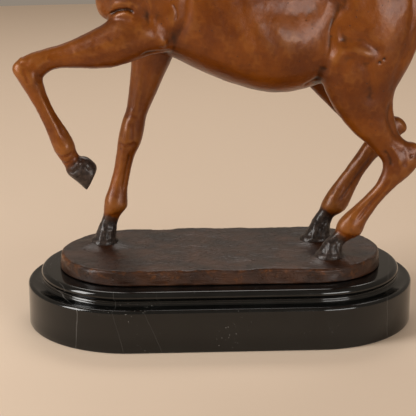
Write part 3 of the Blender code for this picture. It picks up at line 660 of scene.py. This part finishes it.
# swellings and dents, as (centre, radii, height, tilt)
body_bosses = (
    ((41.6, 65.5), (4.6, 8), 0.5, 8), ((18.4, 60), (6.5, 5.5), 0.75), ((32.2, 52.4), (5.6, 6.4), 0.75, -12),
    ((-13.9, 66.4), (2, 3), 0.5), ((-52.35, 126.3), (1.15, 0.8), 0.36, 52),
    ((-49.5, 129.9), (1.2, 1.2), -0.32), ((41.7, 56.8), (0.5, 0.42), -0.34),
    ((40.6, 55.9), (0.5, 0.42), -0.34))
for side in (NEAR, FAR):
    press(push, body_lines + head_lines + rib_lines, body_bosses, side, side)
# clefts on the middle plane: between the breasts, and between the thighs under the tail
for half_width, depth, cleft in (
        (0.8, 0.8, (normals[:, 0] < -0.2) * (x < -26) * step_between(z, 60, 66) * step_between(-z, -86, -78)),
        (0.7, 0.9, (normals[:, 0] > 0.2) * (x > 40) * step_between(z, 56, 62) * step_between(-z, -83, -78))):
    push += depth * np.exp(-(points[:, 1] / half_width) ** 2) * cleft

# the drawn-up near foreleg and its shoulder
raised_lines = (
    ([(-30.2, 67.9), (-28.4, 68.9), (-26.8, 69.4), (-25, 69.5), (-23.3, 68.9)], 0.42, 1),
    ([(-29.9, 70), (-28, 70.9), (-25.8, 71.3), (-23.6, 70.6)], 0.8, -0.3),
    ([(-29.6, 67), (-27.6, 67.9), (-25.2, 68.2), (-22.7, 67.5)], 0.6, -0.22),
    ([(-27.6, 74.5), (-25.4, 72.6), (-23.4, 71), (-21.9, 69.2)], 0.8, -0.25),
    ([(-21.6, 74.5), (-20.6, 71), (-20.2, 68), (-19.5, 65.4), (-18.2, 63.4), (-16.9, 62.4)], 1.3, 0.28),
    ([(-20.2, 73.4), (-19, 70), (-18.9, 67.2), (-18.2, 65.2)], 0.7, -0.16),
    ([(-13.7, 71.6), (-12.7, 69.8), (-12.5, 67.9), (-13.2, 67.1)], 0.26, 0.24),
    ([(-14.2, 72.8), (-13.6, 71.9)], 0.3, 0.2),
    ([(-22.1, 57.4), (-20.3, 58.2), (-17.9, 58.5), (-15.6, 58.5), (-14.2, 59.1)], 0.5, 0.3),
    ([(-17.6, 59.9), (-15.7, 59.4), (-14.6, 60.6), (-14.4, 62.2)], 0.5, 0.2),
    ([(-48.1, 56.4), (-44.2, 57.9), (-38.9, 59.7), (-33.7, 61.2), (-29.3, 63), (-25.6, 64.5)], 0.9, 0.12),
    ([(-45.6, 55.3), (-40.3, 56.5), (-33.8, 56.9), (-27.8, 58), (-23.4, 60)], 1, 0.12),
    ([(-52.6, 54.6), (-52.2, 52.6), (-51.2, 50.2)], 0.45, 0.2),
    ([(-49, 54.2), (-48.7, 52.2), (-48.6, 50)], 0.75, 0.14),
    ([(-45.5, 57), (-47.7, 55.9), (-49.5, 54.6)], 0.7, -0.16),
    ([(-54.8, 56.8), (-53, 55.6), (-51, 55.6)], 0.5, 0.12),
    ([(-48.2, 49), (-46.5, 45.2), (-44.8, 41.4), (-43.3, 38), (-41.9, 35)], 0.5, 0.26),
    ([(-49.4, 49), (-47.8, 45.2), (-46.1, 41.2), (-44.6, 37.6), (-43.4, 34.6)], 0.5, -0.14),
    ([(-45.2, 31.2), (-43.4, 30.6), (-41.6, 30.9), (-40.4, 32)], 0.4, 0.18),
    ([(-44, 29), (-42, 28.6), (-40, 30.2)], 0.35, 0.16),
    ([(-42.3, 26.6), (-40.6, 26.2), (-39, 27.4), (-37.6, 29.4)], 0.35, 0.26),
    ([(-41.6, 25.9), (-39.8, 25.2), (-38, 26.6), (-36.4, 28.8)], 0.4, -0.18),
    ([(-38.8, 30), (-37.2, 28.4), (-36, 26.9)], 0.3, 0.22))
raised_bosses = (
    ((-16, 61.3), (1.2, 1.2), 0.5), ((-28, 60.3), (6, 2.2), 0.25), ((-20, 62.8), (3, 2), 0.2),
    ((-50.2, 52.4), (1.1, 1.9), 0.26), ((-54.4, 55.6), (1.2, 1.2), 0.2), ((-42.3, 33), (1.6, 1.8), 0.24),
    ((-38.6, 28.8), (1.3, 1), 0.2))
press(push, raised_lines, raised_bosses, NEAR, NEAR)
press(push, [line for line in raised_lines if line[0][0][0] < -28], (), FAR, NEAR)

# sinews, joints, fetlocks and coronets of the three standing legs
fore_lines = (
    ([(-19.4, 53.9), (-20.3, 48.4), (-21.4, 42.8), (-22.2, 38.5)], 0.9, 0.22),
    ([(-23.4, 50), (-23.9, 44), (-24.4, 39)], 0.8, 0.12),
    ([(-22.6, 37.4), (-25.2, 37.9), (-27.4, 37.2)], 0.5, 0.1),
    ([(-23.3, 30.4), (-25.8, 29.4), (-28.6, 30)], 0.6, 0.16),
    ([(-24.9, 36), (-24.5, 33.4), (-24.8, 31)], 0.5, 0.16),
    ([(-25.2, 27.9), (-26, 24.1), (-26.9, 19.8), (-27.6, 15.6)], 0.5, 0.3),
    ([(-27.2, 28.5), (-27.8, 24), (-28.8, 19), (-29.8, 14.5)], 0.5, -0.1),
    ([(-33.2, 9.4), (-30.9, 8.7), (-28.3, 9.6)], 0.6, 0.14),
    ([(-34.9, 4.9), (-32.4, 4.5), (-29.6, 4.5)], 0.5, -0.12),
    ([(-32.9, 8), (-33.6, 5), (-34.6, 1)], 0.4, -0.12),
    ([(-31.2, 8), (-31.6, 4.6), (-31.9, 1)], 0.35, 0.12))
hind_lines = (
    ([(45.4, 32.4), (47.2, 29.4), (48.4, 26.6)], 0.6, -0.26),
    ([(43.4, 31.3), (45, 28.9), (45.9, 26.2)], 0.6, 0.26),
    ([(48.6, 31.6), (49.4, 28.8), (49.4, 26.2)], 0.6, 0.18), ([(51.4, 29.8), (50.9, 28.6)], 0.35, 0.2),
    ([(46, 23.6), (43.9, 20.2), (41, 16.6), (38.1, 12.9), (35.8, 10.4)], 0.5, 0.32),
    ([(44, 24), (41.7, 20.4), (38.9, 16.9), (36.2, 13.7), (33.8, 11.2)], 0.5, -0.12),
    ([(31.1, 8.4), (33.6, 7.2), (36.6, 6)], 0.6, 0.14), ([(28.3, 5.3), (30.6, 4.5), (33.2, 3.5)], 0.5, -0.14),
    ([(31, 7.2), (29.8, 5), (28.9, 1)], 0.4, -0.12), ([(33.2, 6), (31.4, 3.8), (30.9, 1)], 0.35, 0.14))
# the far hind leg stands a little further forward, its hock higher
far_hind_lines = [([(px - 2.1, pz + min(0.14 * pz, 3.9)) for px, pz in path], width, depth)
                  for path, width, depth in hind_lines]
for lines, side, bosses in (
        (fore_lines, FAR, (((-26, 33.6), (2, 2.8), 0.2), ((-29.6, 12.2), (2.2, 1.9), 0.22),
                           ((-27.3, 11.6), (1, 1.2), 0.16))),
        (hind_lines, NEAR, (((49.3, 28.8), (1.5, 1.6), 0.22), ((34.9, 9), (2.2, 1.9), 0.22),
                            ((37.2, 7.8), (1, 1.1), 0.16))),
        (far_hind_lines, FAR, (((47.2, 32.6), (1.5, 1.6), 0.22), ((32.8, 10.8), (2.2, 1.9), 0.22),
                               ((35.1, 9.6), (1, 1.1), 0.16)))):
    for face in (NEAR, FAR):
        press(push, lines, bosses, face, side)
# the touch of the modelling tool: soft facets everywhere, rougher on the hooves
hooves = 1 - step_between(z, 5, 9)
push += 0.035 * drift(points, 5.5, 11) + 0.018 * drift(points, 2.0, 12)
push += hooves * 0.07 * drift(points * [1, 1, 0.45], 1.3, 13)
# each standing hoof flares out at its foot, where the metal runs into the ground
push -= 0.55 * step_between(-z, -2.2, -0.9)
points = eased(points - push[:, None] * normals, pairs, 0.25, 1)

most_triangles = 195000
form = new_piece("full_form", to_row(points), [faces], bronze("brown lacquered bronze"))
thin = form.modifiers.new("thin", "DECIMATE")
thin.ratio = min(1.0, most_triangles / (2 * len(faces)))
thin.use_collapse_triangulate = True
mesh = baked(form)
mesh.name = "horse"
horse = bpy.data.objects.new("horse", mesh)
bpy.context.scene.collection.objects.link(horse)


def hollowness(points, faces, rounds, span):
    """0.5 plus how far the eased surface lies outside this one over span: more in hollows, less on ridges."""
    soft = eased(points, neighbour_pairs(faces), 0.5, rounds)
    return np.clip(0.5 + ((soft - points) * outward_directions(points, faces)).sum(1) / span, 0, 1)


points, faces = surface_of(mesh, 3)
x, y, z = points.T
stain = 0.24 * step_between(-z, -44, -26) + 0.10 * step_between(-z, -18, -12)
# the dark of each hoof starts at its coronet: (a place on it, the way down the hoof, side, reach, darkness)
for top, way, side, reach, dark in (
        ((-31, 8.2), (-0.25, -0.97), FAR, 10, 1), ((33.4, 6.4), (-0.5, -0.87), NEAR, 10, 1),
        ((31.6, 8.4), (-0.5, -0.87), FAR, 10, 1), ((-40.6, 28.4), (0.62, -0.78), NEAR, 8, 0.92)):
    down = (x - top[0]) * way[0] + (z - top[1]) * way[1]
    near_hoof = (side * y > 0) * (np.hypot(x - top[0], z - top[1]) < reach)
    stain = np.maximum(stain, dark * step_between(down, -3.4, 2.2) * near_hoof)
stain = np.maximum(stain, step_between(-z, -5, -3))
fine, broad = hollowness(points, faces, 8, 0.4), hollowness(points, faces, 60, 1.6)
# painted shade: surfaces that face down are made darker through the hollow value, as if the light came only
# from above
painted_underside_shade = 0.15 * np.clip(-outward_directions(points, faces)[:, 2] - 0.05, 0, 1)
# the hollow value holds the patina's dark hollows and the painted shade on the undersides
give_values(horse, hollow=0.6 * fine + 0.4 * broad + painted_underside_shade, stain=stain)
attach(horse, "root")
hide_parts("bronze_horse")

# Mane, forelock and tail
# Hair modelled in flat tapering locks, each scored lengthwise with a toothed tool, pressed onto the
# crest, the poll and the dock and cast in one with the horse.


def lock(path, outward, width, height, scores=4, phase=0.0, steps=7, sides=34):
    """A flat lock along the path: rings cos a * width across and sin a * height outward, the outer half
    scored by a ripple of so many waves. It swells over its first fifth and runs out to a point."""
    rows = curve_through(np.column_stack([path, outward]), steps)
    middle, lift = rows[:, :3], rows[:, 3:]
    way = unit(np.gradient(middle, axis=0))
    lift = unit(lift - (lift * way).sum(1)[:, None] * way)
    across = np.cross(lift, way)
    t = np.linspace(0, 1, len(rows))[:, None, None]
    swell = np.maximum((0.25 + 0.75 * step_between(t, 0, 0.22)) * (1 - t ** 2.2) ** 0.75, 0.03)
    turn = full_turn(sides)[None, :, None]
    score = 1 + 0.20 * np.cos(2 * scores * turn + phase + 2.0 * t) * (np.sin(turn) > 0.05)
    ring = np.cos(turn) * across[:, None] * width + np.sin(turn) * lift[:, None] * height * score
    return skin_rings(middle[:, None] + swell * ring)


def on_neck(place, angle, height):
    """Points on the neck's skin and the directions out of it: place counts the neck's stations from the
    withers up, angle turns from the crest (0) down the near side (-90)."""
    rows = curve_through(neck_stations, 40)
    row = np.stack([np.interp(np.asarray(place) * 40, np.arange(len(rows)), rows[:, k]) for k in range(5)])
    a = np.radians(angle)
    dx, dz = (row[0] - row[2]) / 2, (row[1] - row[3]) / 2
    half = row[4] * (1 - 0.25 * np.cos(a))
    long = np.hypot(dx, dz)
    out = unit(np.stack([np.cos(a) / long * dx / long, np.sin(a) / half, np.cos(a) / long * dz / long], 1))
    skin = np.stack([row[0] - dx + dx * np.cos(a), half * np.sin(a), row[1] - dz + dz * np.cos(a)], 1)
    return skin + out * np.asarray(height)[:, None], out


def mane():
    """Three layers of locks. A lock starts sunk in the crest, turns evenly down the near side of the neck,
    and drifts towards the withers as t^1.3 with a sine's sway, t running from its root to its tip."""
    draw = np.random.default_rng(21)
    for layer, (count, drop, lift) in enumerate(((15, 92, 0.35), (17, 74, 0.95), (19, 50, 1.45))):
        for k in range(count):
            start = 0.35 + 6.2 * (k + 0.33 * layer) / count
            fall = (drop + draw.uniform(-9, 9)) * (1.0 if start < 5.6 else 0.8)
            t = np.linspace(0, 1, 6)
            sway = 0.10 * np.sin(2 * np.pi * (t * draw.uniform(0.8, 1.15) + draw.uniform(0, 1)))
            path, out = on_neck(start - 0.62 * t ** 1.3 * (fall / 80) + sway * t, 4 - (fall + 4) * t,
                                lift + 0.35 - 0.55 * t ** 2 - 1.9 * np.maximum(0, 1 - t / 0.2))
            width, height, phase = draw.uniform(1.45, 1.9), draw.uniform(0.85, 1.1), draw.uniform(0, 6)
            yield lock(path, out, width, height, 3 + k % 2, phase)
    # the roll of short hair along the crest, and the forelock between the ears
    top, out = on_neck(np.linspace(0.1, 6.9, 9), np.full(9, 4.0), np.full(9, 0.5))
    yield lock(top[::-1], out[::-1], 1.7, 1.5, 3, steps=10)
    for k, side in enumerate((-1.5, 1.5, -0.1, -0.9, 0.8)):
        over, apart = 0.3 * (k > 1), 0.3 * (k % 2)
        path = np.array([(-42.9, side * 0.3, 135.4), (-46.4, side * 0.8, 136.6 + over),
                         (-49.5, side * 1.1, 134.4 + over), (-52, side * 1.35, 130.6),
                         (-54.3 + apart, side * 1.5, 126.6 - 0.9 * k)])
        out = np.array([(0.1, side * 0.2, 1), (-0.3, side * 0.2, 1), (-0.8, side * 0.25, 0.6),
                        (-0.9, side * 0.3, 0.4), (-0.9, side * 0.3, 0.35)])
        yield lock(path, out, 0.95, 0.7, 2, k)


def tail():
    """A tapering core along the spine, and three layers of locks round it at even angles. Each lies over its
    own stretch of the core and twists round it by a slow sine."""
    spine = np.array([(43.9, 0, 84.6), (50.2, 0, 87.4), (56.1, 0, 87.8), (61.6, 0, 82.6), (65.0, 0, 71.8),
                      (67, 0, 59.6), (69.8, 0, 47.6), (73.6, 0, 40.4)])
    radii = np.array([2.9, 2.8, 3.0, 3.9, 4.6, 4.4, 3.0, 0.6])
    yield strand(spine, radii, flat=0.8, sides=40)
    draw = np.random.default_rng(8)
    rows = curve_through(np.column_stack([spine, radii]), 10)
    way = unit(np.gradient(rows[:, :3], axis=0))
    up = np.cross(way, [0.0, 1.0, 0.0])
    for layer, count in enumerate((11, 11, 10)):
        for k in range(count):
            first = (8, 22, 34)[layer] + draw.integers(-4, 5)
            last = (52, 62, 70)[layer] + draw.integers(-4, 1)
            pick = np.linspace(first, last, 7).astype(int)
            twist = 0.6 * np.sin(np.linspace(0, 2.4, 7) + draw.uniform(0, 6))
            angle = 2 * np.pi * (k + 0.4 * layer) / count + twist
            out = np.cos(angle)[:, None] * up[pick] + np.sin(angle)[:, None] * [0.0, 0.8, 0.0]
            lift = rows[pick, 3] * np.array([0.55, 0.9, 1.0, 1.02, 1.0, 1.0, 1.05]) + 0.2 * layer
            width, height, phase = draw.uniform(1.5, 2.1), draw.uniform(0.8, 1.0), draw.uniform(0, 6)
            yield lock(rows[pick, :3] + out * lift[:, None], out, width, height, 3 + k % 2, phase, steps=8)


for name, make in (("mane", mane), ("tail", tail)):
    points, faces = gathered(list(make()))
    hair = new_piece(name, to_row(points), faces, horse.data.materials[0])
    give_values(hair, hollow=np.full(len(points), 0.5), stain=np.zeros(len(points)))
    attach(hair, "root")
    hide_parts("bronze_horse")

# Floor, light and camera
# A plain pale floor far wider than the piece, two soft windows in front, a light behind and a dim warm
# room. The camera stands as the photo's did, three degrees to the left and sixteen above.
floor_colour, floor_radius, floor_top, floor_underside = (0.80, 0.645, 0.505), 1800, -0.2, -20.2


def floor_material():
    """One pale matt colour."""
    made, _, surface, _ = new_material("pale floor")
    surface.inputs["Base Color"].default_value = (*floor_colour, 1.0)
    surface.inputs["Roughness"].default_value = 0.85
    surface.inputs["Specular IOR Level"].default_value = 0.2
    return made


def outwards(turn, tip):
    """The direction from the piece turned by so many degrees from its front, and tipped up by so many."""
    turn, tip = np.radians(turn), np.radians(tip)
    return Vector((np.sin(turn) * np.cos(tip), -np.cos(turn) * np.cos(tip), np.sin(tip)))


disc = floor_radius * np.stack([np.cos(full_turn(96)), np.sin(full_turn(96))], 1)
slab = [np.column_stack([disc, np.full(96, height)]) for height in (floor_underside, floor_top)]
floor = new_piece("floor", *skin_rings(np.stack(slab)), floor_material(), smooth=False)

sky = bpy.data.worlds.new("studio")
bpy.context.scene.world = sky
sky.use_nodes = True
sky.node_tree.nodes["Background"].inputs["Color"].default_value = (0.72, 0.60, 0.48, 1)
sky.node_tree.nodes["Background"].inputs["Strength"].default_value = 0.38

daylight, lamplight = (1.0, 0.98, 0.95), (1.0, 0.95, 0.9)
for name, turn, tip, far_off, size, power, colour in (
        ("window", 30, 9.5, 1.5, (0.85, 0.45), 9.5, daylight),
        ("left_window", -69, 21, 1.5, (0.55, 1), 20, daylight),
        ("back_light", 175, 45, 1.6, (1.2, 0.6), 7, lamplight)):
    away = outwards(turn, tip)
    light = bpy.data.lights.new(name, "AREA")
    light.shape = "RECTANGLE"
    light.size, light.size_y = size
    light.energy = power
    light.color = colour
    lamp = bpy.data.objects.new(name, light)
    lamp.location = Vector((0, 0, 0.17)) + away * far_off
    lamp.rotation_euler = away.to_track_quat("Z", "Y").to_euler()
    lamp.visible_camera = False
    bpy.context.scene.collection.objects.link(lamp)

back = outwards(-3.0, 16.2)
camera_distance = 0.937
lens = bpy.data.cameras.new("photo view")
lens.sensor_width = 36.0
lens.lens = 112.5
camera = bpy.data.objects.new("photo view", lens)
camera.location = Vector((-0.009, 0.0, 0.081)) + back * camera_distance
camera.rotation_euler = back.to_track_quat("Z", "Y").to_euler()
bpy.context.scene.collection.objects.link(camera)
bpy.context.scene.camera = camera
bpy.context.scene.view_settings.view_transform = "Standard"
